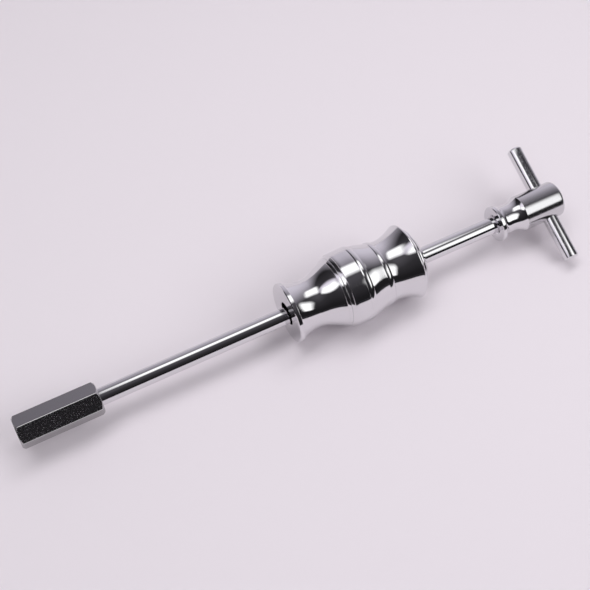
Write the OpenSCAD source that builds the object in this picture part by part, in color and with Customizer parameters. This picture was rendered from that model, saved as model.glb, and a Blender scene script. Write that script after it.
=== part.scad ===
// Slide hammer puller: a loose turned weight runs along a round rod, between a long
// hex adapter that takes the puller attachment and a stop disc with a cross bar handle.
// +X runs along the rod from the adapter to the handle, +Z is up with the tool lying down.
// The origin is the centre of the adapter's outer end, where the attachment screws in.

/* [Slide rod] */
// Diameter of the round rod
rod_d = 16; // [14:0.5:20]
// Bare length of rod between the adapter and the stop disc
rod_bare_l = 402; // [360:1:600]
// Depth from the rod's surface down to the line its threads are drawn at
thread_depth = 0.65; // [0.5:0.05:1]
// Threaded length that screws into the adapter
adapter_thread_l = 30; // [20:1:40]
// Length of full rod that is let into each end piece
rod_spigot_l = 5; // [3:0.5:8]
// Chamfer on the tips of the threads
thread_chamfer = 1; // [0.5:0.1:1.5]

/* [Hex adapter] */
// Width of the adapter across its flats
hex_af = 27; // [24:0.5:36]
// Length of the adapter
hex_l = 75; // [65:1:110]
// Length of the chamfer at each end, measured on a corner
hex_chamfer = 2.4; // [1:0.1:4]
// Turn of the flats about the rod, in degrees
hex_turn = 12; // [0:1:59]
// Chamfer at the mouths of the adapter's hole
hex_mouth_chamfer = 1; // [0.5:0.1:1.5]
// Width of the relief groove between the adapter's two threads
relief_w = 4; // [3:0.5:6]

/* [Hammer weight] */
// Distance from the adapter to the weight as the tool lies
weight_rest = 181; // [1:1:200]
// Room between the rod and the wall of the weight's hole
bore_clearance = 3; // [1:0.1:4]
// Chamfer at both mouths of the weight's hole
bore_chamfer = 0.5; // [0.3:0.1:1]
// Diameter of the front flange
front_flange_d = 57; // [52:0.5:64]
// Thickness of the front flange's rim
front_rim_w = 4.5; // [3:0.5:7]
// Diameter at the narrowest point of the front grip
front_waist_d = 46; // [40:0.5:50]
// Length over which the front grip narrows
front_fall_l = 19.5; // [14:0.5:24]
// Length over which the front grip widens again
front_rise_l = 23.5; // [20:0.5:34]
// Diameter where the front grip meets the rings
front_shoulder_d = 63; // [60:0.5:65]
// Width of the lower of the two rings in front of the band
lower_ring_w = 2.8; // [2:0.1:4]
// Width of the upper of the two rings in front of the band
upper_ring_w = 3; // [2:0.1:4]
// Largest diameter, shared by the middle band and the rear flange
weight_d = 72; // [70:0.5:80]
// Length over which the band rounds up to its full diameter
band_round_l = 3.7; // [2:0.1:5]
// Length of the band's straight part
band_l = 12; // [8:0.5:20]
// Width of the ring behind the band
rear_ring_w = 5.5; // [4:0.5:8]
// Diameter at the narrowest point of the rear grip
rear_waist_d = 58.6; // [54:0.1:62]
// Length over which the rear grip narrows
rear_fall_l = 28; // [21:0.5:34]
// Length over which the rear grip widens again
rear_rise_l = 21; // [18:0.5:32]
// Distance from the rear grip's front end to the bead on it
bead_place = 16.5; // [12:0.1:18]
// Width of the bead on the rear grip
bead_w = 5; // [3:0.5:6]
// Length of the rear flange's rounded rim
rear_rim_l = 3.2; // [2.5:0.5:5]
// Length of the domed nose behind the rear flange
nose_l = 8.3; // [5:0.1:10]
// Width of the small bead at the root of the nose
nose_bead_l = 2.6; // [1.5:0.1:3.5]
// Diameter of the flat striking face at the nose
nose_face_d = 42; // [38:0.5:46]

/* [Handle head] */
// Diameter of the stop disc
disc_d = 34.7; // [32:0.1:40]
// Thickness of the stop disc
disc_w = 4.2; // [3:0.1:6]
// Rounding of the disc's rim
disc_round = 0.8; // [0.4:0.1:1.2]
// Diameter of the neck behind the disc
neck_d = 27; // [24:0.1:29]
// Length of the neck
neck_l = 7; // [5:0.5:10]
// Length of the cone from the neck to the barrel
cone_l = 16.3; // [12:0.1:24]
// Diameter of the barrel that holds the cross bar
barrel_d = 34.7; // [32:0.1:40]
// Length of the barrel
barrel_l = 42; // [38:0.5:60]
// Rounding of the barrel's far edge
barrel_round = 3; // [1:0.1:4]
// Distance from the far end of the head to the cross bar's axis
bar_place = 14.4; // [12:0.1:22]
// Diameter of the countersink round the rod in the disc's face
countersink_d = 20; // [18:0.1:24]

/* [Tommy bar] */
// Diameter of the cross bar
bar_d = 14.5; // [12:0.1:16]
// Length of the cross bar
bar_l = 120; // [100:1:180]
// Chamfer on the cross bar's ends
bar_chamfer = 1.6; // [0.8:0.1:2.5]
// Lift of the cross bar's far end about the rod, in degrees
bar_turn = 20; // [0:1:40]

/* [Fits] */
// Radial clearance between a thread and its hole
thread_clearance = 0.05; // [0.02:0.01:0.1]
// Radial clearance of the rod's plain ends in the adapter and the head
spigot_clearance = 0.05; // [0.02:0.01:0.1]
// Radial clearance of the cross bar in its hole
bar_clearance = 0.05; // [0.02:0.01:0.1]
// Gap left where the rod rests in the weight's hole and at both ends of the stroke
rest_gap = 0.3; // [0.1:0.05:0.5]
// Gap between the end of the rod and the cross bar that it locks
lock_gap = 0.1; // [0.05:0.01:0.2]

/* [Hidden] */

// Facets round a full turn, and steps along a curve and round a small edge
round_fn = 128;
curve_steps = 14;
edge_steps = 5;
// One overrun for every cut
cut = 1;

// Radii
relief_clearance = 0.3;
rod_r = rod_d / 2;
thread_r = rod_r - thread_depth;
tapped_r = thread_r + thread_clearance;
spigot_hole_r = rod_r + spigot_clearance;
bore_r = rod_r + bore_clearance;
disc_r = disc_d / 2;
neck_r = neck_d / 2;
barrel_r = barrel_d / 2;
bar_r = bar_d / 2;
bar_hole_r = bar_r + bar_clearance;

// Corner radius of the hex, and the radius of its end faces
hex_sides = 6;
hex_corner_r = hex_af / 2 / cos(180 / hex_sides);
hex_face_r = hex_corner_r - hex_chamfer;
// The relief groove clears the full thread
relief_r = rod_r + relief_clearance;

// Places along the rod
disc_x = hex_l + rod_bare_l;
head_l = disc_w + neck_l + cone_l + barrel_l;
bar_x = disc_x + head_l - bar_place;
rod_tip_x = bar_x - bar_r - lock_gap;
rod_tail_x = hex_l - rod_spigot_l - adapter_thread_l;
weight_x = hex_l + weight_rest;
// The weight hangs on nothing: it lies on the ground and the rod rests in its hole
weight_lift = bore_clearance - rest_gap;

// Small steps of the weight's outline: the ring edges stand this far off the curve beside them
ring_step = 0.45;
crown_height = 0.15;
groove_depth = 0.35;
nose_step = 3;
nose_bead_fall = 0.1;
rim_round = 0.7;
rim_step = 0.5;
bead_height = 0.3;
// Equal steps from the front shoulder to the band
climb_steps = 3;
// Share of the rear rim's length by which its edge falls
rim_fall_share = 0.75;

// Slopes of the weight's outline where one stretch meets the next
front_fall_slope = -0.42;
shoulder_slope = 0.34;
band_slope = 0.3;
rear_fall_slope = -0.12;
rear_rise_slope = 0.5;
rim_end_slope = -1.2;
nose_start_slope = -1.3;
nose_end_slope = -1.8;
// Slopes of the head's cone where it leaves the neck and meets the barrel
neck_start_slope = -0.2;
cone_start_slope = 0;
cone_end_slope = 0.57;

// The point a share t of the way along a smooth curve from [x0, r0] to [x1, r1]
// that has a given slope at each end
function on_curve(t, x0, r0, slope0, x1, r1, slope1) =
    let (l = x1 - x0, u = 1 - t)
    [
        r0 * u * u * (1 + 2 * t) + r1 * t * t * (3 - 2 * t)
        + l * (slope0 * t * u * u - slope1 * t * t * u),
        x0 + l * t
    ];

// Points along such a curve
function curve(x0, r0, slope0, x1, r1, slope1) = [
    for (i = [0 : curve_steps]) on_curve(i / curve_steps, x0, r0, slope0, x1, r1, slope1)
];

// Points round a quarter edge of radius e, rising to the full radius r at x
function edge_up(x, r, e) = [
    for (i = [0 : edge_steps]) let (a = 90 * i / edge_steps)
        [r - e + e * sin(a), x + e - e * cos(a)]
];

// Points round a quarter edge of radius e, falling from the full radius r to x
function edge_down(x, r, e) = [
    for (i = [0 : edge_steps]) let (a = 90 * i / edge_steps)
        [r - e + e * cos(a), x - e + e * sin(a)]
];

// Points over a shallow swelling of height h between two points of an outline
function swell(x0, r0, x1, r1, h) = [
    for (i = [0 : edge_steps]) let (t = i / edge_steps)
        [r0 + (r1 - r0) * t + h * sin(180 * t), x0 + (x1 - x0) * t]
];

// Turns an outline of [radius, place] points about the X axis
module turned(points) {
    rotate([0, 90, 0]) rotate_extrude($fn = round_fn) polygon(points);
}

// A straight round hole along X with a chamfer at each mouth
module drilled(x0, x1, r, chamfer) {
    turned([
        [0, x0 - cut], [r + chamfer + cut, x0 - cut], [r, x0 + chamfer],
        [r, x1 - chamfer], [r + chamfer + cut, x1 + cut], [0, x1 + cut]
    ]);
}

// The long hex, chamfered at both ends and tapped from both, with a relief groove between
module hex_adapter() {
    color([0.72, 0.72, 0.75])
    difference() {
        intersection() {
            translate([-cut, 0, 0]) rotate([hex_turn, 0, 0]) rotate([0, 90, 0])
                cylinder(r = hex_corner_r, h = hex_l + cut * 2, $fn = hex_sides);
            turned([
                [0, 0], [hex_face_r, 0], [hex_corner_r + cut, hex_chamfer + cut],
                [hex_corner_r + cut, hex_l - hex_chamfer - cut], [hex_face_r, hex_l], [0, hex_l]
            ]);
        }
        turned([
            [0, -cut], [tapped_r + hex_mouth_chamfer + cut, -cut], [tapped_r, hex_mouth_chamfer],
            [tapped_r, rod_tail_x - relief_w / 2], [relief_r, rod_tail_x - relief_w / 2],
            [relief_r, rod_tail_x + relief_w / 2], [tapped_r, rod_tail_x + relief_w / 2],
            [tapped_r, hex_l - rod_spigot_l], [spigot_hole_r, hex_l - rod_spigot_l],
            [spigot_hole_r, hex_l - hex_mouth_chamfer],
            [spigot_hole_r + hex_mouth_chamfer + cut, hex_l + cut], [0, hex_l + cut]
        ]);
    }
}

// The rod, with a shouldered thread at each end
module slide_rod() {
    tail_x = hex_l - rod_spigot_l;
    nose_x = disc_x + rod_spigot_l;
    color([0.78, 0.78, 0.8])
    turned([
        [0, rod_tail_x], [thread_r - thread_chamfer, rod_tail_x],
        [thread_r, rod_tail_x + thread_chamfer], [thread_r, tail_x],
        [rod_r, tail_x], [rod_r, nose_x], [thread_r, nose_x],
        [thread_r, rod_tip_x - thread_chamfer], [thread_r - thread_chamfer, rod_tip_x],
        [0, rod_tip_x]
    ]);
}

// The turned weight that slides on the rod
module hammer_weight() {
    shoulder_r = front_shoulder_d / 2;
    full_r = weight_d / 2;
    flange_r = front_flange_d / 2;
    front_r = front_waist_d / 2;
    rear_r = rear_waist_d / 2;
    face_r = nose_face_d / 2;

    waist_x = front_rim_w + front_fall_l;
    shoulder_x = waist_x + front_rise_l;
    upper_x = shoulder_x + lower_ring_w;
    round_x = upper_x + upper_ring_w;
    band_x = round_x + band_round_l;
    ring_x = band_x + band_l;
    fall_x = ring_x + rear_ring_w;
    rear_x = fall_x + rear_fall_l;
    crest_x = rear_x + rear_rise_l;
    nose_x = crest_x + rear_rim_l;
    end_x = nose_x + nose_l;

    // The two front rings climb from the shoulder to the start of the band in equal steps
    climb = (full_r - 2 * ring_step - shoulder_r) / climb_steps;
    lower_r = shoulder_r + ring_step;
    upper_r = lower_r + climb + ring_step;
    round_r = upper_r + climb;
    nose_r = full_r - rear_rim_l * rim_fall_share;
    root_r = nose_r - nose_step;
    dome_x = nose_x + nose_bead_l;
    dome_r = root_r - nose_bead_l * nose_bead_fall;
    rear_ring_r = full_r - 2 * ring_step;
    fall_r = rear_ring_r - groove_depth;

    // The rear grip's falling stretch, broken by a low bead
    fall = curve(fall_x, fall_r, rear_fall_slope, rear_x, rear_r, 0);
    bead_from = on_curve(bead_place / rear_fall_l, fall_x, fall_r, rear_fall_slope, rear_x, rear_r, 0);
    bead_to = on_curve((bead_place + bead_w) / rear_fall_l, fall_x, fall_r, rear_fall_slope, rear_x, rear_r, 0);

    color([0.75, 0.75, 0.78])
    translate([weight_x, 0, weight_lift])
    difference() {
        turned(concat(
            [[0, 0]],
            edge_up(0, flange_r, rim_round),
            edge_down(front_rim_w, flange_r, rim_round),
            curve(front_rim_w, flange_r - rim_round - rim_step, front_fall_slope, waist_x, front_r, 0),
            curve(waist_x, front_r, 0, shoulder_x, shoulder_r, shoulder_slope),
            swell(shoulder_x, lower_r, upper_x, lower_r + climb, crown_height),
            swell(upper_x, upper_r, round_x, round_r, crown_height),
            curve(round_x, round_r + ring_step, band_slope, band_x, full_r, 0),
            [[full_r, ring_x - groove_depth], [full_r - groove_depth, ring_x]],
            swell(ring_x, full_r - groove_depth, fall_x, rear_ring_r, groove_depth),
            [for (p = fall) if (p[1] < bead_from[1]) p],
            swell(bead_from[1], bead_from[0] + bead_height, bead_to[1], bead_to[0] + bead_height, crown_height),
            [for (p = fall) if (p[1] > bead_to[1]) p],
            curve(rear_x, rear_r, 0, crest_x, full_r, rear_rise_slope),
            curve(crest_x, full_r, 0, nose_x, nose_r, rim_end_slope),
            swell(nose_x, root_r, dome_x, dome_r, groove_depth),
            curve(dome_x, dome_r - groove_depth, nose_start_slope, end_x, face_r, nose_end_slope),
            [[0, end_x]]
        ));
        drilled(0, end_x, bore_r, bore_chamfer);
    }
}

// Stop disc, neck, cone and cross-drilled barrel, turned from one piece
module handle_head() {
    neck_x = disc_w;
    cone_x = neck_x + neck_l;
    barrel_x = cone_x + cone_l;
    sink_r = countersink_d / 2;
    sink_depth = sink_r - spigot_hole_r;
    color([0.75, 0.75, 0.78])
    difference() {
        translate([disc_x, 0, 0]) turned(concat(
            [[0, 0]],
            edge_up(0, disc_r, disc_round),
            edge_down(neck_x, disc_r, disc_round),
            curve(neck_x, neck_r + disc_round, neck_start_slope, cone_x, neck_r, cone_start_slope),
            curve(cone_x, neck_r, cone_start_slope, barrel_x, barrel_r, cone_end_slope),
            edge_down(head_l, barrel_r, barrel_round),
            [[0, head_l]]
        ));
        translate([disc_x, 0, 0]) turned([
            [0, -cut], [sink_r + cut, -cut], [spigot_hole_r, sink_depth],
            [spigot_hole_r, rod_spigot_l], [tapped_r, rod_spigot_l],
            [tapped_r, bar_x - disc_x], [0, bar_x - disc_x]
        ]);
        translate([bar_x, 0, 0]) rotate([bar_turn - 90, 0, 0])
            cylinder(r = bar_hole_r, h = barrel_d + 2 * cut, center = true, $fn = round_fn);
    }
}

// The plain cross bar, chamfered at both ends
module tommy_bar() {
    half_l = bar_l / 2;
    color([0.78, 0.78, 0.8])
    translate([bar_x, 0, 0]) rotate([bar_turn - 90, 0, 0])
    rotate_extrude($fn = round_fn) polygon([
        [0, -half_l], [bar_r - bar_chamfer, -half_l], [bar_r, -half_l + bar_chamfer],
        [bar_r, half_l - bar_chamfer], [bar_r - bar_chamfer, half_l], [0, half_l]
    ]);
}

hex_adapter();
slide_rod();
hammer_weight();
handle_head();
tommy_bar();
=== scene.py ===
"""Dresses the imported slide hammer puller: turned chrome pieces, threads, a pale floor and soft light."""

import math

import bpy
import numpy as np
from bpy.props import FloatProperty, FloatVectorProperty, IntProperty, PointerProperty
from mathutils import Matrix, Vector


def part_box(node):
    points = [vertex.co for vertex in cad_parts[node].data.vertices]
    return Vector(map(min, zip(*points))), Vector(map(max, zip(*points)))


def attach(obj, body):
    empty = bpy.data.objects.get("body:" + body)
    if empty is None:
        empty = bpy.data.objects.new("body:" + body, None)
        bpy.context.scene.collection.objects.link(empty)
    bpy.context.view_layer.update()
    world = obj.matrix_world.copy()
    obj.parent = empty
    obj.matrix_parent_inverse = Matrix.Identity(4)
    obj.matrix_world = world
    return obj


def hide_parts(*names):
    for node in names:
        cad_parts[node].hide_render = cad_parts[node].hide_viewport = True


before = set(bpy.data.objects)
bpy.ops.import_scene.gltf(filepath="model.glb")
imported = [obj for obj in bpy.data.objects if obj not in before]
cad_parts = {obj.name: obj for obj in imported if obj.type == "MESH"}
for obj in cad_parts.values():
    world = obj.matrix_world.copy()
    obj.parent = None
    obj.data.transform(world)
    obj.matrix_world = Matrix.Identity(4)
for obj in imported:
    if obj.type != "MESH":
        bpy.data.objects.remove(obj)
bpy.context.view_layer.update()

bl_info = {
    "name": "Slide hammer puller",
    "version": (1, 0, 0),
    "blender": (4, 5, 0),
    "location": "3D View > Sidebar > Puller",
    "description": "Builds a chrome slide hammer puller and its studio",
    "category": "Object",
}

MM = 0.001

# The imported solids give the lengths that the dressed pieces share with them
ADAPTER_LOW, ADAPTER_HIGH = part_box("hex_adapter")
ADAPTER_LENGTH = ADAPTER_HIGH.x - ADAPTER_LOW.x
ROD_LOW, ROD_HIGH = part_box("slide_rod")
WEIGHT_LOW, WEIGHT_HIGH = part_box("hammer_weight")
WEIGHT_LIFT = (WEIGHT_LOW.z + WEIGHT_HIGH.z) / 2
HEAD_LOW, HEAD_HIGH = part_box("handle_head")

# Facets round each turned piece; the weight's are a setting
BORE_FACETS, ROD_FACETS, HEAD_FACETS, BAR_FACETS = 144, 160, 176, 144
# Play between a round piece and its hole, on the radius
CLEARANCE = 0.05 * MM
# Points that are nearer than this are one point
SAME_POINT = 2e-7
# Stretches of an outline that meet at less than this turn look like one curve
SMOOTH_TURN = math.radians(28)
# Faces that are compared with an outline at one time
BATCH = 4000
# Least cosine between an outline's normal and its face's: on a plain body, on a drilled one, and in the hole
PLAIN_AGREES, DRILLED_AGREES, HOLE_AGREES = 0.5, 0.86, 0.9


def size(name, description, millimetres):
    """A length that a user may change, kept in metres."""
    return FloatProperty(
        name=name, description=description, default=millimetres * MM, min=0.0, unit="LENGTH", precision=5
    )


def share(name, description, value):
    """A plain number between nought and one."""
    return FloatProperty(name=name, description=description, default=value, min=0.0, max=1.0)


def colour(name, description, value):
    """A colour that a user may change."""
    return FloatVectorProperty(
        name=name, description=description, default=value, min=0.0, max=1.0, size=3, subtype="COLOR"
    )


class AdapterSizes(bpy.types.PropertyGroup):
    """Sizes of the hex adapter."""

    across_flats: size("Across flats", "Width of the hex between opposite flats", 27.0)
    chamfer: size("Chamfer", "Depth of the turned chamfer at the hex corners", 2.4)
    corner_round: size("Corner round", "Radius along the six long corners", 0.5)
    edge_round: size("Edge round", "Radius where a flat meets the turned chamfer", 0.25)
    turn: FloatProperty(
        name="Turn", description="Turn of the hex about the rod", default=math.radians(12), subtype="ANGLE"
    )
    mouth: size("Mouth chamfer", "Depth of the chamfer at each threaded mouth", 1.0)
    relief: size("Relief", "Width of the groove between the two threads", 4.0)
    spigot: size("Spigot", "Depth to which the full rod enters", 5.0)


class ThreadSizes(bpy.types.PropertyGroup):
    """Sizes of the metric threads."""

    major: size("Major diameter", "Outside diameter of the thread", 16.0)
    pitch: size("Pitch", "Advance of the thread in one turn", 2.0)
    height: size("Height", "Height of the thread's ridge", 0.95)
    steps: IntProperty(name="Steps", description="Points in one turn of a thread", default=48, min=12)


class RodSizes(bpy.types.PropertyGroup):
    """Sizes of the slide rod."""

    diameter: size("Diameter", "Diameter of the rod", 16.0)
    root: size("Root", "Diameter under the thread at either end", 14.0)
    end_chamfer: size("End chamfer", "Chamfer at the threaded ends", 1.0)


class WeightSizes(bpy.types.PropertyGroup):
    """Sizes of the sliding weight."""

    bore: size("Bore", "Diameter of the hole that the rod runs in", 22.0)
    bore_chamfer: size("Bore chamfer", "Chamfer at each end of the hole", 0.5)
    flange: size("Front flange", "Diameter of the front flange", 57.0)
    flange_rim: size("Front rim", "Width of the front flange's rim", 4.5)
    front_waist: size("Front waist", "Diameter of the narrow front grip", 46.0)
    front_fall: size("Front fall", "Length from the rim to the front waist", 19.5)
    front_rise: size("Front rise", "Length from the front waist to the shoulder", 23.5)
    shoulder: size("Shoulder", "Diameter of the shoulder before the rings", 63.0)
    lower_ring: size("Lower ring", "Width of the first ring", 2.8)
    upper_ring: size("Upper ring", "Width of the second ring", 3.0)
    band: size("Band", "Diameter of the plain band and of the rear flange", 72.0)
    band_round: size("Band round", "Length of the curve up to the band", 3.7)
    band_width: size("Band width", "Width of the plain band", 12.0)
    rear_ring: size("Rear ring", "Width of the ring behind the band", 5.5)
    rear_waist: size("Rear waist", "Diameter of the rear grip", 58.6)
    rear_fall: size("Rear fall", "Length from the ring to the rear waist", 28.0)
    rear_rise: size("Rear rise", "Length from the rear waist to the flange", 21.0)
    bead_place: size("Bead place", "Distance of the bead from the rear ring", 16.5)
    bead_width: size("Bead width", "Width of the low bead on the rear grip", 5.0)
    rear_rim: size("Rear rim", "Width of the rounded rear rim", 3.2)
    nose: size("Nose", "Length of the domed nose", 8.3)
    nose_bead: size("Nose bead", "Width of the small bead at the root of the nose", 2.6)
    nose_face: size("Nose face", "Diameter of the flat end of the nose", 42.0)
    segments: IntProperty(name="Segments", description="Facets round the weight", default=192, min=48)


class HeadSizes(bpy.types.PropertyGroup):
    """Sizes of the handle head."""

    disc: size("Stop disc", "Diameter of the stop disc", 34.7)
    disc_width: size("Disc width", "Thickness of the stop disc", 4.2)
    disc_round: size("Disc round", "Radius of the disc's two edges", 0.8)
    neck: size("Neck", "Diameter of the neck behind the disc", 27.0)
    neck_length: size("Neck length", "Length of the neck", 7.0)
    cone_length: size("Cone length", "Length of the cone", 16.3)
    barrel: size("Barrel", "Diameter of the barrel", 34.7)
    barrel_length: size("Barrel length", "Length of the barrel", 42.0)
    barrel_round: size("Barrel round", "Radius of the barrel's far edge", 3.0)
    sink: size("Countersink", "Diameter of the countersink round the rod", 20.0)


class BarSizes(bpy.types.PropertyGroup):
    """Sizes of the cross bar."""

    diameter: size("Diameter", "Diameter of the cross bar", 14.5)
    length: size("Length", "Length of the cross bar", 120.0)
    chamfer: size("Chamfer", "Chamfer at either end", 1.6)
    turn: FloatProperty(
        name="Turn", description="Lean of the cross bar from level", default=math.radians(20), subtype="ANGLE"
    )
    place: size("Place", "Distance of the bar from the barrel's end", 14.4)


class Finishes(bpy.types.PropertyGroup):
    """Colours of the metal and of the studio."""

    chrome: colour("Chrome", "Colour of the polished plate", (0.735, 0.73, 0.745))
    hex_chrome: colour("Hex chrome", "Colour of the plate over the drawn hex bar", (0.37, 0.365, 0.375))
    steel: colour("Thread steel", "Colour of the bare cut threads", (0.30, 0.29, 0.285))
    floor: colour("Floor", "Colour of the paper that the tool lies on", (0.776, 0.716, 0.776))
    polish: share("Polish", "Roughness of the polished plate", 0.045)
    hex_polish: share("Hex polish", "Roughness of the plate over the hex bar", 0.11)


class Puller(bpy.types.PropertyGroup):
    """Everything that a user may change on the puller."""

    adapter: PointerProperty(type=AdapterSizes)
    thread: PointerProperty(type=ThreadSizes)
    rod: PointerProperty(type=RodSizes)
    weight: PointerProperty(type=WeightSizes)
    head: PointerProperty(type=HeadSizes)
    bar: PointerProperty(type=BarSizes)
    finish: PointerProperty(type=Finishes)


class Nodes:
    """A node tree that is written as calls."""

    def __init__(self, tree):
        self.tree = tree

    def add(self, kind, values=None, settings=None, out=0):
        """Makes a node, then its settings, then its sockets' values or links."""
        node = self.tree.nodes.new(kind)
        for key, value in (settings or {}).items():
            setattr(node, key, value)
        for key, value in (values or {}).items():
            self.feed(node.inputs[key], value)
        return Value(self, node, out)

    def feed(self, socket, value):
        """Links a value to a socket, or writes a plain number or colour into it."""
        if isinstance(value, Value):
            self.tree.links.new(value.socket, socket)
        else:
            socket.default_value = value

    def ramp(self, fac, stops):
        """A colour ramp of (place, grey) stops."""
        made = self.add("ShaderNodeValToRGB", {"Fac": fac})
        elements = made.node.color_ramp.elements
        for index, (place, grey) in enumerate(stops):
            stop = elements[index] if index < 2 else elements.new(place)
            stop.position = place
            stop.color = (grey, grey, grey, 1.0)
        return made

    def mix(self, fac, a, b, blend="MIX"):
        """A blend of two colours."""
        kind = {"data_type": "RGBA", "blend_type": blend}
        return self.add("ShaderNodeMix", {0: fac, 6: a, 7: b}, kind).output(2)

    def noise(self, place, scale, detail, **more):
        """Noise over a place, finer as the scale grows."""
        values = {"Vector": place, "Scale": scale, "Detail": detail, **more}
        return self.add("ShaderNodeTexNoise", values)

    def bump(self, height):
        """A surface that stands out by this height."""
        return self.add("ShaderNodeBump", {"Strength": 1.0, "Distance": 1.0, "Height": height})

    def place(self, kind="Object"):
        """A place on the object or in the world, and its three parts."""
        whole = self.add("ShaderNodeTexCoord", out=kind)
        parts = self.add("ShaderNodeSeparateXYZ", {0: whole})
        return whole, [parts.output(i) for i in range(3)]

    def end(self, kind, value):
        """Links a value into the tree's output node, which is made here."""
        self.tree.links.new(value.socket, self.tree.nodes.new(kind).inputs[0])

    def surface(self, kind, values):
        """Ends a material with a shader node of that kind."""
        self.end("ShaderNodeOutputMaterial", self.add(kind, values))


class Value:
    """One output of a node, with the usual signs of arithmetic."""

    def __init__(self, nodes, node, out):
        self.nodes = nodes
        self.node = node
        self.socket = node.outputs[out]

    def output(self, out):
        """Another output of the same node."""
        return Value(self.nodes, self.node, out)

    def math(self, operation, *others):
        """A Math node on this value and the others."""
        values = dict(enumerate([self, *others]))
        return self.nodes.add("ShaderNodeMath", values, {"operation": operation})

    def __add__(self, other):
        return self.math("ADD", other)

    def __sub__(self, other):
        return self.math("SUBTRACT", other)

    def __rsub__(self, other):
        return self.nodes.add("ShaderNodeMath", {0: other, 1: self}, {"operation": "SUBTRACT"})

    def __mul__(self, other):
        return self.math("MULTIPLY", other)

    def __truediv__(self, other):
        return self.math("DIVIDE", other)

    def clamped(self):
        """This value held between 0 and 1."""
        return self.nodes.add("ShaderNodeClamp", {"Value": self})


def settings():
    """The puller's own settings on the scene."""
    return bpy.context.scene.puller


def linked(name, data):
    """A new object in the scene."""
    made = bpy.data.objects.new(name, data)
    bpy.context.scene.collection.objects.link(made)
    return made


def evaluated(thing):
    """A plain mesh of an object with its modifiers applied."""
    return bpy.data.meshes.new_from_object(thing.evaluated_get(bpy.context.evaluated_depsgraph_get()))


# Outlines: lists of (place along the axis, radius), from one end of the axis to the other


def on_curve(t, x0, r0, slope0, x1, r1, slope1):
    """A point on a smooth curve between two points with a given slope at each."""
    length = x1 - x0
    u = 1 - t
    radius = r0 * u * u * (1 + 2 * t) + r1 * t * t * (3 - 2 * t)
    return (x0 + length * t, radius + length * (slope0 * t * u * u - slope1 * t * t * u))


def curve(steps, *ends):
    """Points along such a curve: the ends are x0, r0, slope0, x1, r1, slope1."""
    return [on_curve(i / steps, *ends) for i in range(steps + 1)]


def swell(x0, r0, x1, r1, height, steps=12):
    """Points over a shallow swelling between two points."""
    shares = [i / steps for i in range(steps + 1)]
    return [(x0 + (x1 - x0) * t, r0 + (r1 - r0) * t + height * math.sin(math.pi * t)) for t in shares]


def rim_arc(x, radius, bend, steps=8):
    """A quarter round that ends a rim at that place and radius."""
    angles = [math.pi / 2 * i / steps for i in range(steps + 1)]
    return [(x - bend * (1 - math.sin(a)), radius - bend * (1 - math.cos(a))) for a in angles]


def rounded(points, radius, steps=5, least=math.radians(14), most=0.42):
    """The outline with its sharp corners made small arcs, each over at most that share of its sides."""
    points = [p for i, p in enumerate(points) if i == 0 or math.dist(p, points[i - 1]) > SAME_POINT / 2]
    made = [points[0]]
    for before, here, after in zip(points, points[1:], points[2:]):
        a, b = (Vector((p[0] - here[0], p[1] - here[1])) for p in (before, after))
        turn = math.pi - a.angle(b)
        if turn < least:
            made.append(here)
            continue
        reach = min(radius * math.tan(turn / 2), most * a.length, most * b.length)
        start = Vector(here) + a.normalized() * reach
        end = Vector(here) + b.normalized() * reach
        for k in range(steps + 1):
            t = k / steps
            made.append(tuple(start * (1 - t) ** 2 + 2 * Vector(here) * t * (1 - t) + end * t * t))
    return [*made, points[-1]]


def spaced(points, longest):
    """The outline with extra points where a stretch is longer than that."""
    made = [points[0]]
    for here, there in zip(points, points[1:]):
        steps = max(1, math.ceil(math.dist(here, there) / longest))
        for k in range(1, steps + 1):
            made.append(tuple(a + (b - a) * k / steps for a, b in zip(here, there)))
    return made


def softened(outline, longest, radius, x=0.0):
    """The outline with its stretches divided and its corners rounded, moved along the axis by x."""
    return [(p[0] + x, p[1]) for p in rounded(spaced(outline, longest), radius)]


def group_tree(name, inputs, output):
    """The calls and the input node of a new geometry tree with named inputs."""
    tree = bpy.data.node_groups.new(name, "GeometryNodeTree")
    for label, kind in inputs:
        tree.interface.new_socket(label, in_out="INPUT", socket_type=f"NodeSocket{kind}")
    tree.interface.new_socket(output, in_out="OUTPUT", socket_type="NodeSocketGeometry")
    nodes = Nodes(tree)
    return nodes, nodes.add("NodeGroupInput")


def made_real(nodes, shape, material):
    """Ends a geometry tree with its shape as plain faces of that material."""
    whole = nodes.add("GeometryNodeRealizeInstances", {"Geometry": shape})
    done = nodes.add("GeometryNodeSetMaterial", {"Geometry": whole, "Material": material})
    nodes.end("NodeGroupOutput", done)
    return nodes.tree


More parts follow.
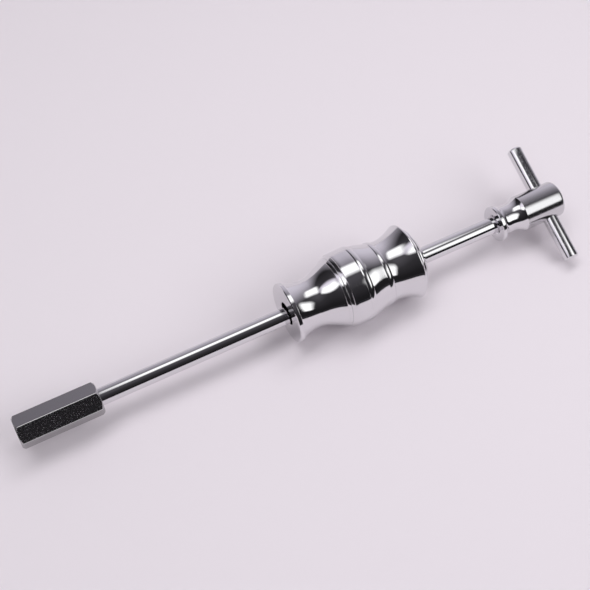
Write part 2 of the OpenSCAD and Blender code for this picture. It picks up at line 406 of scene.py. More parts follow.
def turning_tree():
    """Geometry nodes that turn an outline about the X axis into a closed body."""
    inputs = (("Outline", "Geometry"), ("Segments", "Int"), ("Material", "Material"))
    nodes, given = group_tree("turned_body", inputs, "Body")
    segments, material = given.output(1), given.output(2)
    count = nodes.add("GeometryNodeAttributeDomainSize", {"Geometry": given}, {"component": "MESH"})
    sizes = {"Size X": 1.0, "Size Y": 1.0, "Vertices X": segments + 1, "Vertices Y": count}
    grid = nodes.add("GeometryNodeMeshGrid", sizes)
    index = nodes.add("GeometryNodeInputIndex")
    column = (index / count).math("FLOOR")
    row = index - column * count
    angle = column / segments * math.tau
    point = nodes.add(
        "GeometryNodeSampleIndex",
        {"Geometry": given, "Value": nodes.add("GeometryNodeInputPosition"), "Index": row},
        {"data_type": "FLOAT_VECTOR", "domain": "POINT"},
    )
    parts = nodes.add("ShaderNodeSeparateXYZ", {0: point})
    radius = parts.output(1)
    around = {0: parts, 1: radius * angle.math("COSINE"), 2: radius * angle.math("SINE")}
    target = nodes.add("ShaderNodeCombineXYZ", around)
    moved = nodes.add("GeometryNodeSetPosition", {"Geometry": grid, "Position": target})
    merged = nodes.add("GeometryNodeMergeByDistance", {"Geometry": moved, "Distance": SAME_POINT})
    return made_real(nodes, merged, material)


def thread_tree():
    """Geometry nodes that wind a thread's ridge round the X axis."""
    lengths = ("Radius", "Pitch", "Turns", "Height", "Start")
    inputs = (*((name, "Float") for name in lengths), ("Steps", "Int"), ("Material", "Material"))
    nodes, given = group_tree("wound_thread", inputs, "Thread")
    radius, pitch, turns, height, start, steps, material = (given.output(i) for i in range(7))
    round_x = {"Start Radius": radius, "End Radius": radius}
    coil = {"Resolution": steps, "Rotations": turns, "Height": turns * pitch, **round_x}
    spiral = nodes.add("GeometryNodeCurveSpiral", coil)
    upright = nodes.add("GeometryNodeSetCurveNormal", {"Curve": spiral}, {"mode": "Z_UP"})
    square = {"Resolution": 4, "Radius": height}
    ridge = nodes.add("GeometryNodeCurvePrimitiveCircle", square, {"mode": "RADIUS"})
    swept = {"Curve": upright, "Profile Curve": ridge, "Fill Caps": True}
    wound = nodes.add("GeometryNodeCurveToMesh", swept)
    offset = nodes.add("ShaderNodeCombineXYZ", {0: start})
    along_x = {"Geometry": wound, "Translation": offset, "Rotation": (0.0, math.pi / 2, 0.0)}
    return made_real(nodes, nodes.add("GeometryNodeTransform", along_x), material)


def grown(tree, base, values):
    """A plain mesh from a geometry tree on a base mesh, with the tree's named inputs set."""
    carrier = linked("carrier", base)
    modifier = carrier.modifiers.new("grow", "NODES")
    modifier.node_group = tree
    for item in tree.interface.items_tree:
        if item.item_type == "SOCKET" and item.in_out == "INPUT" and item.name in values:
            modifier[item.identifier] = values[item.name]
    made = evaluated(carrier)
    bpy.data.objects.remove(carrier)
    bpy.data.meshes.remove(base)
    return made


def unit(rows):
    """The rows, each made one long."""
    return rows / np.maximum(np.linalg.norm(rows, axis=1), 1e-12)[:, None]


def outline_normals(points):
    """An outline's points, and each stretch's normals at its start and at its end.

    Two stretches that meet at less than SMOOTH_TURN share one normal there.
    """
    p = np.array(points)
    step = p[1:] - p[:-1]
    normal = unit(np.stack([-step[:, 1], step[:, 0]], 1))
    start, end = normal.copy(), normal.copy()
    for i in range(len(normal) - 1):
        if normal[i] @ normal[i + 1] > math.cos(SMOOTH_TURN):
            both = normal[i] + normal[i + 1]
            both /= np.linalg.norm(both)
            end[i], start[i + 1] = both, both
    return p, start, end


def fetched(items, name, width, kind=float):
    """One property of all items, as rows of that width."""
    made = np.empty(len(items) * width, kind)
    items.foreach_get(name, made)
    return made.reshape(-1, width)


def loop_places(mesh):
    """Each face corner's vertex place, and each face's corner count, centre and normal."""
    faces = mesh.polygons
    corner = fetched(mesh.loops, "vertex_index", 1, int)[:, 0]
    count = fetched(faces, "loop_total", 1, int)[:, 0]
    spots = fetched(mesh.vertices, "co", 3)
    return spots[corner], count, fetched(faces, "center", 3), fetched(faces, "normal", 3)


def true_normals(mesh, points, hole=None):
    """Gives a turned mesh the exact normals of its outline, and those of a cross hole where it has one."""
    p, start, end = outline_normals(points)
    corner, count, centre, normal = loop_places(mesh)
    owner = np.repeat(np.arange(len(count)), count)
    flat = np.stack([centre[:, 0], np.hypot(centre[:, 1], centre[:, 2])], 1)
    a, b = p[:-1], p[1:]
    along = b - a
    length2 = (along**2).sum(1)
    best = np.empty(len(flat), int)
    for low in range(0, len(flat), BATCH):
        part = flat[low : low + BATCH]
        t = np.clip(((part[:, None] - a) * along).sum(2) / length2, 0, 1)
        gap = ((part[:, None] - a - t[..., None] * along) ** 2).sum(2)
        best[low : low + BATCH] = gap.argmin(1)
    stretch = best[owner]
    radius = np.hypot(corner[:, 1], corner[:, 2])
    spot = np.stack([corner[:, 0], radius], 1)
    t = np.clip(((spot - a[stretch]) * along[stretch]).sum(1) / length2[stretch], 0, 1)[:, None]
    mixed = unit(start[stretch] * (1 - t) + end[stretch] * t)
    # A corner on the axis takes its face's own direction
    outward = unit(np.where(radius[:, None] > SAME_POINT / 2, corner[:, 1:], centre[owner][:, 1:]))
    made = np.concatenate([mixed[:, :1], outward * mixed[:, 1:]], 1)
    face = normal[owner]
    agree = (made * face).sum(1)[:, None]
    if hole is not None:
        origin, direction = (np.array(part) for part in hole)
        away = corner - origin
        inward = -unit(away - (away @ direction)[:, None] * direction)
        wall = (inward * face).sum(1)[:, None]
        beside = np.where(wall > HOLE_AGREES, inward, face)
        made = np.where(agree < DRILLED_AGREES, beside, made)
    else:
        made = np.where(agree < PLAIN_AGREES, face, made)
    mesh.polygons.foreach_set("use_smooth", np.ones(len(count), bool))
    mesh.normals_split_custom_set(made)


def turned(points, segments, material):
    """A mesh of an outline turned about the X axis."""
    base = bpy.data.meshes.new("outline")
    base.from_pydata([(x, r, 0.0) for x, r in points], [(i, i + 1) for i in range(len(points) - 1)], [])
    return grown(TREES["turned"], base, {"Segments": segments, "Material": material})


def shaped(points, facets, finish):
    """A turned mesh with its outline's own normals."""
    body = turned(points, facets, FINISH[finish])
    true_normals(body, points)
    return body


def thread(radius, start, turns):
    """A mesh of a thread's ridge, wound from start towards +X."""
    sizes = settings().thread
    values = {"Radius": radius, "Turns": turns, "Start": start, "Material": FINISH["steel"]}
    values |= {"Pitch": sizes.pitch, "Height": sizes.height, "Steps": sizes.steps}
    return grown(TREES["thread"], bpy.data.meshes.new("empty"), values)


def dressed(name, meshes, node, body):
    """Joins the meshes to a finished piece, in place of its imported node."""
    parts = [linked(name, mesh) for mesh in meshes]
    piece = parts[0]
    bpy.ops.object.select_all(action="DESELECT")
    for part in parts:
        part.select_set(True)
    bpy.context.view_layer.objects.active = piece
    bpy.ops.object.join()
    piece.name = name
    piece.data.name = name
    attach(piece, body)
    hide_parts(node)


def cleared(owner):
    """The emptied node tree of a new material or world."""
    owner.use_nodes = True
    owner.node_tree.nodes.clear()
    return Nodes(owner.node_tree)


def coated(name, build, *values, **extras):
    """A new material, with the nodes that this function builds."""
    material = bpy.data.materials.new(name)
    build(cleared(material), *values, **extras)
    return material


def shaded(tint, by=1.0):
    """A colour made lighter or darker, as a shader takes it."""
    return (*(part * by for part in tint), 1.0)


# The chrome's noises, finer as the number grows: polishing lines, clouds, smears, pits and grinding marks
LINES, CLOUDS, SMEARS, PITS, RUBS = 5200.0, 38.0, 210.0, 1500.0, 1400.0
# The polishing lines run round the tool: their noise is drawn out across it
LINE_STRETCH = (1.0, 0.04, 0.04)
# The chrome's tint where it is cloudy and where it is ground, as shares of the clean one
CLOUDY, GROUND = 0.94, 0.84
# Pale colour of a pit, and the paler colour painted on the hex's chamfers and long corners as a highlight
PIT_TINT, GLINT_EDGE_TINT = (0.9, 0.9, 0.92, 1.0), (0.80, 0.79, 0.80, 1.0)
# Heights of the polishing lines for each share of grain, and of a pit, in metres
LINE_HEIGHT, PIT_HEIGHT = 0.0004, 0.00001


def chrome(nodes, tint, polish, grain, haze, peel, peel_size, pits=None, satin=None, edges=None):
    """Chrome plate: a slightly hazy mirror with fine polishing lines and a soft unevenness."""
    place, (along, across_y, across_z) = nodes.place()
    lines = nodes.add("ShaderNodeMapping", {"Vector": place, "Scale": LINE_STRETCH})
    turning = nodes.noise(lines, LINES, 2.0, Roughness=0.6)
    clouds = nodes.noise(place, CLOUDS, 4.0)
    smears = nodes.noise(place, SMEARS, 3.0)
    uneven = nodes.noise(place, 1.0 / peel_size, 2.0)
    speck, pitted = 0.0, 1.0
    if pits:
        # Only the side that faces this way is pitted; the others came out smooth
        angle, reach = pits
        across = across_y * math.cos(angle) + across_z * math.sin(angle)
        pitted = ((across - reach) / (0.2 * MM)).clamped()
        speck = ((nodes.noise(place, PITS, 1.0) - 0.65) * 14.0).clamped() * pitted
    dull = ((clouds - 0.5) * 2.2).clamped() * haze + ((smears - 0.52) * 3.0).clamped() * (haze * 0.6)
    rough = dull + polish + (turning - 0.5) * grain + speck * 0.3
    tone_and_edge_glint = nodes.mix((clouds - 0.42).clamped() * 0.5, shaded(tint), shaded(tint, CLOUDY))
    metal = 1.0
    if satin:
        # Past this place along the tool the surface is ground, not buffed
        start, extra, waves = satin
        ground = ((along - start) / (0.4 * MM)).clamped()
        rub = nodes.noise(place, RUBS, 3.0)
        rough = rough + ground * extra * (rub * 0.6 + 0.7)
        uneven = uneven + ground * rub * waves
        tone_and_edge_glint = nodes.mix(ground, tone_and_edge_glint, shaded(tint, GROUND))
    if edges:
        # Painted highlight: the turned chamfers and the long corners get a paler, half-matt colour than the
        # drawn flats, so that they show light lines like glints along these edges
        length, face_r, corner_r = edges
        radius = (across_y * across_y + across_z * across_z).math("SQRT")
        inside = along.math("MINIMUM", length - along) - (radius - face_r)
        bevel = (0.25 - inside / MM).clamped()
        corner = ((radius - corner_r) / (0.03 * MM)).clamped()
        edge_glint = bevel.math("MAXIMUM", corner)
        tone_and_edge_glint = nodes.mix(edge_glint, tone_and_edge_glint, GLINT_EDGE_TINT)
        rough = rough + edge_glint * 0.24 + pitted * 0.08
        metal = 1.0 - edge_glint * 0.5
    height = uneven * peel * pitted + turning * (grain * LINE_HEIGHT) + speck * PIT_HEIGHT
    plate = {
        "Base Color": nodes.mix(speck, tone_and_edge_glint, PIT_TINT),
        "Metallic": metal,
        "Roughness": rough.clamped(),
        "Normal": nodes.bump(height),
    }
    nodes.surface("ShaderNodeBsdfPrincipled", plate)


def cut_steel(nodes, tint):
    """Bare steel of a cut thread, oily and ribbed by the tap."""
    place, _ = nodes.place()
    stain = nodes.noise(place, 420.0, 5.0)
    fine = nodes.noise(place, 2600.0, 3.0)
    bare = {
        "Base Color": nodes.mix(((stain - 0.35) * 2.0).clamped(), shaded(tint, 0.6), shaded(tint, 1.25)),
        "Metallic": 1.0,
        "Roughness": (stain * 0.25 + fine * 0.2 + 0.18).clamped(),
        "Normal": nodes.bump(fine * 0.00002),
    }
    nodes.surface("ShaderNodeBsdfPrincipled", bare)


# How far a narrow bevel leans back from the front face beside it
BEVEL_SLANT = math.radians(41)


def front_bevel(radius, length):
    """The two corners of the narrow bevel between a front face and its rim."""
    return [(0.0, radius - length * math.cos(BEVEL_SLANT)), (length * math.sin(BEVEL_SLANT), radius)]


def weight_outline():
    """The weight's outline from its front face on: the outside first, and then the bore."""
    s = settings().weight
    full, flange, waist = s.band / 2, s.flange / 2, s.front_waist / 2
    shoulder, rear, face, bore = s.shoulder / 2, s.rear_waist / 2, s.nose_face / 2, s.bore / 2
    ring_step, groove, rim_round, rim_step = 0.45 * MM, 0.35 * MM, 0.7 * MM, 0.5 * MM
    bead, crown, bevel = 0.3 * MM, 0.15 * MM, 1.1 * MM
    crest, mouth = full - crown / 2, bore + s.bore_chamfer
    waist_x = s.flange_rim + s.front_fall
    shoulder_x = waist_x + s.front_rise
    upper_x = shoulder_x + s.lower_ring
    round_x = upper_x + s.upper_ring
    band_x = round_x + s.band_round
    ring_x = band_x + s.band_width
    fall_x = ring_x + s.rear_ring
    rear_x = fall_x + s.rear_fall
    crest_x = rear_x + s.rear_rise
    nose_x = crest_x + s.rear_rim
    end_x = nose_x + s.nose
    climb = (full - 2 * ring_step - shoulder) / 3
    lower = shoulder + ring_step
    round_r = lower + climb + ring_step + climb
    nose_r = full - s.rear_rim * 0.75
    root_r = nose_r - 3.0 * MM
    dome_x = nose_x + s.nose_bead
    dome_r = root_r - s.nose_bead * 0.1
    rear_ring = full - 2 * ring_step
    fall_r = rear_ring - groove
    fall = (fall_x, fall_r, -0.12, rear_x, rear, 0.0)
    fall_points = curve(46, *fall)
    bead_ends = (s.bead_place, s.bead_place + s.bead_width)
    (from_x, from_r), (to_x, to_r) = (on_curve(x / s.rear_fall, *fall) for x in bead_ends)
    points = [(0.0, mouth)]
    points += front_bevel(flange, bevel)
    points += rim_arc(s.flange_rim, flange, rim_round)
    points += curve(34, s.flange_rim, flange - rim_round - rim_step, -0.42, waist_x, waist, 0.0)
    points += curve(44, waist_x, waist, 0.0, shoulder_x, shoulder, 0.34)
    points += swell(shoulder_x, shoulder + 2 * crown, upper_x - bead, lower + climb, crown / 2)
    points += [(upper_x, lower + climb - bead)]
    points += swell(upper_x + crown, lower + climb + 2 * crown, round_x, round_r, crown / 2)
    points += curve(10, round_x + crown, round_r + ring_step, 0.3, band_x, full - 2 * crown, 0.0)
    points += [(ring_x - groove, full), (ring_x, full - 2 * groove)]
    points += swell(ring_x + 3 * groove, full - crown, fall_x, rear_ring, groove)
    points += [p for p in fall_points if p[0] < from_x]
    points += swell(from_x + 2 * bead, from_r + bead, to_x - bead, to_r + 2.4 * bead, 1.7 * crown)
    points += [p for p in fall_points if p[0] > to_x]
    points += curve(44, rear_x, rear, 0.0, crest_x, crest, 0.5)
    points += swell(crest_x, crest, crest_x + 4 * bead, crest, crown / 2)
    points += curve(10, crest_x + 4 * bead, crest, -0.4, nose_x, nose_r, -1.2)
    points += swell(nose_x, root_r, dome_x, root_r, 1.4 * crown)
    points += curve(16, dome_x, dome_r - groove, -1.3, end_x, face, -1.8)
    points += [(end_x, mouth), (end_x - s.bore_chamfer, bore), (s.bore_chamfer, bore), (0.0, mouth)]
    return points


def hexagon(flat_to_flat, corner_round, turn):
    """Points round a hexagon with rounded corners, each with its outward normal."""
    half = flat_to_flat / 2
    reach = half * math.tan(math.pi / 6) - corner_round * math.tan(math.pi / 6)
    made = []
    for side in range(6):
        middle = turn + math.pi / 6 + side * math.pi / 3 - math.pi / 2
        normal = Vector((math.cos(middle), math.sin(middle)))
        tangent = Vector((-normal.y, normal.x))
        for k in range(9):
            made.append((normal * half + tangent * (reach * (k / 4 - 1)), normal))
        centre = normal * (half - corner_round) + tangent * reach
        for k in range(1, 6):
            swung = middle + math.pi / 3 * k / 6
            bent = Vector((math.cos(swung), math.sin(swung)))
            made.append((centre + bent * corner_round, bent))
    return made


# How far the mouth's chamfer goes past the thread, as a share of its depth
MOUTH_SHARE = 0.3
# How far a rounded edge of the hex reaches along a flat face and along the chamfer, as shares of its radius
FLAT_REACH, CONE_REACH = 0.6, 0.42


def hex_column(spot, normal, face_r, mouth_r):
    """One row of (place, direction) pairs along the hex, from its outer end face to the inner one."""
    radial, radius = spot.normalized(), spot.length
    depth = radius - face_r
    rise = settings().adapter.edge_round
    front = Vector((-1.0, 0.0, 0.0))
    side = Vector((0.0, normal.x, normal.y))
    cone = Vector((-1.0, radial.x, radial.y)).normalized()
    half = []

    def put(x, r, direction):
        half.append((Vector((x, radial.x * r, radial.y * r)), direction))

    def bend(low, corner, high, first, last):
        for t in (0.25, 0.5, 0.75):
            x, r = (a * (1 - t) ** 2 + 2 * b * t * (1 - t) + c * t * t for a, b, c in zip(low, corner, high))
            put(x, r, (first * (1 - t) + last * t).normalized())

    ring_r = face_r - rise * FLAT_REACH
    reach = rise * CONE_REACH
    put(0.0, mouth_r, front)
    put(0.0, (mouth_r + face_r) / 2, front)
    put(0.0, ring_r, front)
    bend((0.0, ring_r), (0.0, face_r), (reach, face_r + reach), front, cone)
    # Where the chamfer is short, beside the middle of a flat, its two rounds share it
    start = depth - min(reach, depth * 0.4)
    stop = max(start, reach + 1e-6)
    put(min(start, reach), face_r + min(start, reach), cone)
    put(stop, face_r + stop, cone)
    flat_x = depth + rise * FLAT_REACH
    bend((stop, face_r + stop), (depth, radius), (flat_x, radius), cone, side)
    put(flat_x, radius, side)
    put(ADAPTER_LENGTH / 4, radius, side)
    other = [(Vector((ADAPTER_LENGTH - p.x, p.y, p.z)), Vector((-d.x, d.y, d.z))) for p, d in reversed(half)]
    put(ADAPTER_LENGTH / 2, radius, side)
    return half + other


def hex_shell(material):
    """The hex bar's outside: flats, rounded corners, the turned chamfers and both end rings."""
    s = settings().adapter
    face_r = s.across_flats / 2 / math.cos(math.pi / 6) - s.chamfer
    mouth_r = settings().thread.major / 2 + s.mouth * MOUTH_SHARE
    ring = hexagon(s.across_flats, s.corner_round, s.turn)
    columns = [hex_column(spot, normal, face_r, mouth_r) for spot, normal in ring]
    rows = len(columns[0])
    pairs = [pair for column in columns for pair in column]
    faces = []
    for c in range(len(columns)):
        d = (c + 1) % len(columns)
        for r in range(rows - 1):
            faces.append((c * rows + r, d * rows + r, d * rows + r + 1, c * rows + r + 1))
    mesh = bpy.data.meshes.new("hex_shell")
    mesh.from_pydata([place for place, _ in pairs], [], faces)
    mesh.materials.append(material)
    mesh.polygons.foreach_set("use_smooth", [True] * len(faces))
    mesh.normals_split_custom_set([pairs[loop.vertex_index][1] for loop in mesh.loops])
    return mesh


def adapter_bore():
    """The outline of the adapter's hole, from the outer mouth to the inner one."""
    s = settings().adapter
    major = settings().thread.major / 2
    low, high = ROD_LOW.x - s.relief / 2, ROD_LOW.x + s.relief / 2
    wall, deep = major - 0.2 * MM, major + 0.3 * MM
    mouth_r = major + s.mouth * MOUTH_SHARE
    bore = settings().rod.diameter / 2 + CLEARANCE
    return [
        (0.0, mouth_r),
        (mouth_r - wall, wall),
        (low, wall),
        (low, deep),
        (high, deep),
        (high, bore),
        (ADAPTER_LENGTH - 0.3 * MM, bore),
        (ADAPTER_LENGTH, mouth_r),
    ]


# How far a thread's ridge stays from both ends of its stretch
THREAD_END = 1.6 * MM


class PULLER_OT_adapter(bpy.types.Operator):
    """Builds the hex adapter with its two threaded mouths"""

    bl_idname = "puller.adapter"
    bl_label = "Hex adapter"

    def execute(self, context):
        s = settings()
        shell = hex_shell(FINISH["hex"])
        # The hole is turned from its inner end, so that its faces look inwards
        bore = list(reversed(softened(adapter_bore(), 6 * MM, 0.1 * MM)))
        wall = shaped(bore, BORE_FACETS, "steel")
        turns = (ROD_LOW.x - s.adapter.relief / 2 - THREAD_END) / s.thread.pitch
        ridge = thread(s.thread.major / 2 - CLEARANCE, 0.9 * MM, turns)
        dressed("adapter_body", [shell, wall, ridge], "hex_adapter", "shaft")
        return {"FINISHED"}


class PULLER_OT_rod(bpy.types.Operator):
    """Builds the polished rod with a thread at each end"""

    bl_idname = "puller.rod"
    bl_label = "Slide rod"

    def execute(self, context):
        s = settings()
        full, root = s.rod.diameter / 2, s.rod.root / 2
        start = ADAPTER_HIGH.x - s.adapter.spigot
        end = HEAD_LOW.x + s.adapter.spigot

        def threaded_end(tip, shoulder):
            way = math.copysign(1.0, shoulder - tip)
            return [
                (tip, 0.0),
                (tip, root - s.rod.end_chamfer),
                (tip + way * s.rod.end_chamfer, root),
                (shoulder - way * 0.6 * MM, root),
                (shoulder, full - 0.4 * MM),
                (shoulder + way * 0.4 * MM, full),
            ]

        points = threaded_end(ROD_LOW.x, start) + threaded_end(ROD_HIGH.x, end)[::-1]
        parts = [shaped(softened(points, 8 * MM, 0.2 * MM), ROD_FACETS, "rod")]
        for low, high in ((ROD_LOW.x, start), (end, ROD_HIGH.x)):
            turns = (high - low - 2 * THREAD_END) / s.thread.pitch
            parts.append(thread(root + CLEARANCE, low + THREAD_END, turns))
        dressed("rod_body", parts, "slide_rod", "shaft")
        return {"FINISHED"}


class PULLER_OT_weight(bpy.types.Operator):
    """Builds the turned weight that slides on the rod"""

    bl_idname = "puller.weight"
    bl_label = "Sliding weight"

    def execute(self, context):
        points = softened(weight_outline(), 4 * MM, 0.18 * MM, WEIGHT_LOW.x)
        body = shaped(points, settings().weight.segments, "weight")
        body.transform(Matrix.Translation((0.0, 0.0, WEIGHT_LIFT)))
        dressed("weight_body", [body], "hammer_weight", "weight")
        return {"FINISHED"}


def bar_frame():
    """Where the cross bar's middle is, and its direction."""
    s = settings().bar
    origin = Vector((HEAD_HIGH.x - s.place, 0.0, 0.0))
    direction = Vector((0.0, math.cos(s.turn), math.sin(s.turn)))
    return origin, direction


def laid_along(origin, direction):
    """The matrix that turns the X axis onto a direction and moves it to a point."""
    return Matrix.Translation(origin) @ direction.to_track_quat("X", "Z").to_matrix().to_4x4()


class PULLER_OT_head(bpy.types.Operator):
    """Builds the stop disc, neck, cone and cross-drilled barrel in one piece"""

    bl_idname = "puller.head"
    bl_label = "Handle head"

    def execute(self, context):
        s = settings().head
        disc, neck, barrel = s.disc / 2, s.neck / 2, s.barrel / 2
        rod = settings().rod.diameter / 2 + CLEARANCE
        cone_x = s.disc_width + s.neck_length
        barrel_x = cone_x + s.cone_length
        end = HEAD_HIGH.x - HEAD_LOW.x
        origin, direction = bar_frame()
        middle = origin.x - HEAD_LOW.x
        root, spigot = settings().rod.root / 2, settings().adapter.spigot
        points = [
            (middle, 0.0),
            (middle, root),
            (spigot, root),
            (spigot, rod),
            (s.sink / 2 - rod, rod),
            (0.0, s.sink / 2),
        ]
        points += front_bevel(disc, s.disc_round)
        points += rim_arc(s.disc_width, disc, s.disc_round)
        points += curve(20, s.disc_width, neck + 2.4 * s.disc_round, -1.0, cone_x, neck, 0.0)
        points += curve(30, cone_x, neck, 0.0, barrel_x, barrel, 0.85)
        points += rim_arc(end, barrel, s.barrel_round)
        points += [(end, 0.0)]
        points = softened(points, 3 * MM, 0.15 * MM, HEAD_LOW.x)
        body = linked("head", turned(points, HEAD_FACETS, FINISH["head"]))
        hole, tall = settings().bar.diameter / 2 + CLEARANCE, barrel * 1.3
        drill = [(-tall, 0.0), (-tall, hole), (tall, hole), (tall, 0.0)]
        cutter = linked("cutter", turned(drill, BAR_FACETS, FINISH["head"]))
        cutter.data.transform(laid_along(origin, direction))
        modifier = body.modifiers.new("hole", "BOOLEAN")
        modifier.operation = "DIFFERENCE"
        modifier.solver = "EXACT"
        modifier.object = cutter
        drilled = evaluated(body)
        bpy.data.objects.remove(body)
        bpy.data.objects.remove(cutter)
        true_normals(drilled, points, (origin, direction))
        dressed("head_body", [drilled], "handle_head", "shaft")
        return {"FINISHED"}


class PULLER_OT_bar(bpy.types.Operator):
    """Builds the plain cross bar"""

    bl_idname = "puller.bar"
    bl_label = "Cross bar"

    def execute(self, context):
        s = settings().bar
        half, radius = s.length / 2, s.diameter / 2
        points = [(-half, 0.0), (-half, radius - s.chamfer), (-half + s.chamfer, radius)]
        points += [(-x, r) for x, r in reversed(points)]
        body = shaped(softened(points, 6 * MM, 0.35 * MM), BAR_FACETS, "bar")
        body.transform(laid_along(*bar_frame()))
        dressed("cross_bar", [body], "tommy_bar", "shaft")
        return {"FINISHED"}


def plane(name, half_x, half_y, material, z=0.0):
    """A flat sheet of the stage, round the middle and at that height."""
    corners = [(-half_x, -half_y, z), (half_x, -half_y, z), (half_x, half_y, z), (-half_x, half_y, z)]
    mesh = bpy.data.meshes.new(name)
    mesh.from_pydata(corners, [], [(0, 1, 2, 3)])
    mesh.materials.append(material)
    made = linked(name, mesh)
    return made


# Where the tool's middle lies, and how far from it the paper's shading begins and ends its fading
TOOL_MIDDLE, PAPER_NEAR, PAPER_FAR = 0.27, 0.55, 1.5


def paper(nodes, tint):
    """Plain matt paper, evenly lit again well away from the tool."""
    matt = nodes.add("ShaderNodeBsdfDiffuse", {"Color": shaded(tint)})
    even = nodes.add("ShaderNodeEmission", {"Color": shaded(tint), "Strength": 1.0})
    _, (along, y, _) = nodes.place()
    x = along - TOOL_MIDDLE
    away = ((x * x + y * y).math("SQRT") - PAPER_NEAR) / (PAPER_FAR - PAPER_NEAR)
    nodes.surface("ShaderNodeMixShader", {0: away.clamped(), 1: matt, 2: even})


# The soft boxes' round corners, and how far from their edge they fade
BOX_CORNER, BOX_FADE = 0.16, 0.125


def glow(nodes, strength, half_x, half_y):
    """The white front of a soft box with rounded corners, fading towards its edge."""
    _, (x, y, _) = nodes.place()
    over_x = (x.math("ABSOLUTE") - (half_x - BOX_CORNER)).math("MAXIMUM", 0.0)
    over_y = (y.math("ABSOLUTE") - (half_y - BOX_CORNER)).math("MAXIMUM", 0.0)
    gap = (over_x * over_x + over_y * over_y).math("SQRT")
    fade = ((BOX_CORNER - gap) / BOX_FADE).clamped()
    light = nodes.add("ShaderNodeEmission", {"Color": (1.0, 1.0, 1.0, 1.0), "Strength": strength})
    clear = nodes.add("ShaderNodeBsdfTransparent")
    nodes.surface("ShaderNodeMixShader", {0: fade, 1: clear, 2: light})


def hide(made, *rays):
    """Hides an object from these kinds of rays."""
    for ray in rays:
        setattr(made, f"visible_{ray}", False)


def soft_box(name, middle, half_x, half_y, turn, strength):
    """A soft box that only the metal sees."""
    half_x, half_y = half_x + BOX_FADE / 2, half_y + BOX_FADE / 2
    box = plane(name, half_x, half_y, coated(name, glow, strength, half_x, half_y))
    box.matrix_world = Matrix.Translation(middle) @ Matrix.Rotation(turn, 4, "Z")
    hide(box, "camera", "diffuse", "shadow", "transmission")


# What the chrome sees of the room, as (sine of the height, grey) stops: near side, far wall and left screen
NEAR_SIDE = (
    (0.0, 0.06), (0.02, 0.022), (0.07, 0.014), (0.085, 0.07), (0.10, 0.014),
    (0.30, 0.016), (0.54, 0.028), (0.73, 0.038), (0.88, 0.07), (1.0, 0.10),
)
FAR_WALL = ((0.0, 0.92), (0.31, 0.86), (0.53, 0.70), (0.73, 0.44), (1.0, 0.11))
LEFT_SCREEN = ((0.0, 0.02), (0.27, 0.02), (0.34, 0.80), (0.53, 1.0), (0.73, 1.0), (0.88, 0.90), (1.0, 0.12))
# Where the wall and the screen stand round the tool, and how sharply and how soon each begins
FAR_SIDE = (math.radians(52), 1.8, -0.95)
LEFT_SIDE = (math.radians(170), 10.0, -8.6)
ROOM_TINT = (1.0, 0.94, 1.06, 1.0)
# The even light of the room on everything that isn't a mirror
EVEN_LIGHT = (0.385, 0.385, 0.385, 1.0)


def studio_world():
    """The room: plain pale to the camera, and to the metal a bright far side and a dark near one."""
    world = bpy.data.worlds.new("studio")
    bpy.context.scene.world = world
    nodes = cleared(world)
    _, (x, y, z) = nodes.place("Generated")
    level = (x * x + y * y + 0.0001).math("SQRT")

    def towards(angle, gain, start):
        return ((x * math.cos(angle) + y * math.sin(angle)) / level * gain + start).clamped()

    near, far, left = (nodes.ramp(z.clamped(), stops) for stops in (NEAR_SIDE, FAR_WALL, LEFT_SCREEN))
    room = nodes.mix(towards(*FAR_SIDE), near, far)
    room = nodes.mix(towards(*LEFT_SIDE), room, left)
    tinted = nodes.mix(1.0, room, ROOM_TINT, "MULTIPLY")
    camera_ray = nodes.add("ShaderNodeLightPath")
    seen = nodes.mix(camera_ray.output("Is Glossy Ray"), EVEN_LIGHT, tinted)
    shown = nodes.mix(camera_ray, seen, shaded(settings().finish.floor))
    light = nodes.add("ShaderNodeBackground", {"Color": shown, "Strength": 1.0})
    nodes.end("ShaderNodeOutputWorld", light)


# Soft boxes over the tool: name, middle, half length, half width, turn and strength
SOFT_BOXES = (
    ("box_right", (0.422, 0.193, 0.680), 0.303, 0.188, 0.098, 1.5),
    ("box_side", (0.768, -0.395, 0.403), 0.168, 0.300, 0.511, 1.5),
    ("box_left", (-0.348, -0.083, 0.961), 0.256, 0.206, 0.439, 1.5),
)
# Lamps that face the tool's middle: name, place, length, width, turn and power
LAMPS = (
    ("key", (0.27, 0.25, 1.6), 2.0, 0.7, math.radians(16), 14.1),
    ("side", (1.50, -1.2, 1.5), 1.5, 1.5, 0.0, 19.8),
)
# How far the floor reaches each way, well past the picture
FLOOR_REACH = 12.0


def lamp(name, spot, length, width, turn, power):
    """A large soft area lamp that lights the paper and isn't seen in the metal."""
    data = bpy.data.lights.new(name, "AREA")
    data.shape = "RECTANGLE"
    data.size, data.size_y = length, width
    data.energy = power
    made = linked(name, data)
    made.location = spot
    facing = (Vector((TOOL_MIDDLE, 0.0, 0.0)) - Vector(spot)).to_track_quat("-Z", "Y").to_matrix()
    made.rotation_euler = (facing @ Matrix.Rotation(turn, 3, "Z")).to_euler()
    hide(made, "glossy", "camera")


class PULLER_OT_stage(bpy.types.Operator):
    """Lays the paper floor, hangs the lights and sets up the camera"""

    bl_idname = "puller.stage"
    bl_label = "Studio and camera"

    def execute(self, context):
        plane("floor", FLOOR_REACH, FLOOR_REACH, FINISH["paper"], WEIGHT_LOW.z)
        for box in SOFT_BOXES:
            soft_box(*box)
        studio_world()
        for values in LAMPS:
            lamp(*values)
        place_camera()
        context.scene.view_settings.view_transform = "Standard"
        return {"FINISHED"}


# The camera that was fitted to the photograph, placed from the middle of the weight's front face
AZIMUTH = math.radians(-27.35)
ELEVATION = math.radians(56.95)
CAMERA_DISTANCE = 1.02315
CAMERA_RIGHT, CAMERA_UP = 0.00748, 0.01686
LENS, SENSOR = 69.52, 36.0


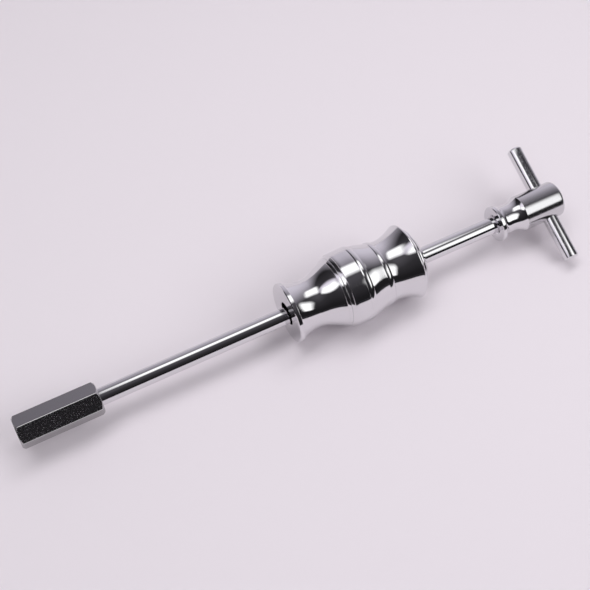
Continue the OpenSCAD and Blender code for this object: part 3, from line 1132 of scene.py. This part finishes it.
def place_camera():
    """Puts the camera where the photograph was taken from."""
    level = math.cos(ELEVATION)
    back = Vector((math.sin(AZIMUTH) * level, -math.cos(AZIMUTH) * level, math.sin(ELEVATION)))
    right = Vector((math.cos(AZIMUTH), math.sin(AZIMUTH), 0.0))
    up = back.cross(right)
    front = Vector((WEIGHT_LOW.x, 0.0, WEIGHT_LIFT))
    spot = front + right * CAMERA_RIGHT + up * CAMERA_UP + back * CAMERA_DISTANCE
    data = bpy.data.cameras.new("camera")
    data.sensor_width = SENSOR
    data.lens = LENS
    data.clip_start, data.clip_end = 0.02, 100.0
    made = linked("camera", data)
    made.matrix_world = Matrix.Translation(spot) @ Matrix((right, up, back)).transposed().to_4x4()
    bpy.context.scene.camera = made


class PULLER_PT_panel(bpy.types.Panel):
    """Lists the puller's pieces and sizes"""

    bl_idname = "PULLER_PT_panel"
    bl_label = "Slide hammer puller"
    bl_space_type = "VIEW_3D"
    bl_region_type = "UI"
    bl_category = "Puller"

    def draw(self, context):
        for step in STEPS:
            self.layout.operator(step.bl_idname)
        for group in Puller.__annotations__:
            sizes = getattr(context.scene.puller, group)
            box = self.layout.box()
            for name in type(sizes).__annotations__:
                box.prop(sizes, name)


GROUPS = (AdapterSizes, ThreadSizes, RodSizes, WeightSizes, HeadSizes, BarSizes, Finishes, Puller)
STEPS = (PULLER_OT_adapter, PULLER_OT_rod, PULLER_OT_weight, PULLER_OT_head, PULLER_OT_bar, PULLER_OT_stage)
TREES = {}
FINISH = {}


def register():
    """Adds the settings, operators and panel to Blender."""
    for item in (*GROUPS, *STEPS, PULLER_PT_panel):
        bpy.utils.register_class(item)
    bpy.types.Scene.puller = PointerProperty(type=Puller)


def unregister():
    """Takes them away again."""
    del bpy.types.Scene.puller
    for item in reversed((*GROUPS, *STEPS, PULLER_PT_panel)):
        bpy.utils.unregister_class(item)


# Each plated piece: strength of its polishing lines, haze, and height and length of its unevenness
PLATE = {
    "hex": (0.03, 0.05, 0.000014, 0.0022),
    "rod": (0.03, 0.05, 0.000006, 0.02),
    "weight": (0.02, 0.04, 0.000014, 0.007),
    "head": (0.02, 0.04, 0.00001, 0.012),
    "bar": (0.03, 0.05, 0.000008, 0.012),
}


def mix_finishes():
    """Makes the materials from the chosen colours."""
    f = settings().finish
    s = settings().adapter
    half = s.across_flats / 2
    sharp_r = half / math.cos(math.pi / 6)
    corner_r = (half - s.corner_round) / math.cos(math.pi / 6) + s.corner_round
    special = {
        "hex": {
            "pits": (s.turn + math.radians(120), half - 0.3 * MM),
            # Where the hex's chamfers and long corners get their painted highlight
            "edges": (ADAPTER_LENGTH, sharp_r - s.chamfer, corner_r - 0.1 * MM),
        },
        "head": {"satin": (HEAD_HIGH.x - settings().head.barrel_length, 0.09, 3.0)},
        "bar": {"pits": (math.radians(-60), -settings().bar.length)},
    }
    for piece, values in PLATE.items():
        tint, polish = (f.hex_chrome, f.hex_polish) if piece == "hex" else (f.chrome, f.polish)
        extras = special.get(piece, {})
        FINISH[piece] = coated(f"{piece}_chrome", chrome, tint, polish, *values, **extras)
    FINISH["steel"] = coated("thread_steel", cut_steel, f.steel)
    FINISH["paper"] = coated("floor_paper", paper, f.floor)


def main():
    """Builds every piece and the stage."""
    register()
    mix_finishes()
    TREES["turned"] = turning_tree()
    TREES["thread"] = thread_tree()
    bpy.ops.puller.adapter()
    bpy.ops.puller.rod()
    bpy.ops.puller.weight()
    bpy.ops.puller.head()
    bpy.ops.puller.bar()
    bpy.ops.puller.stage()


if __name__ == "__main__":
    main()
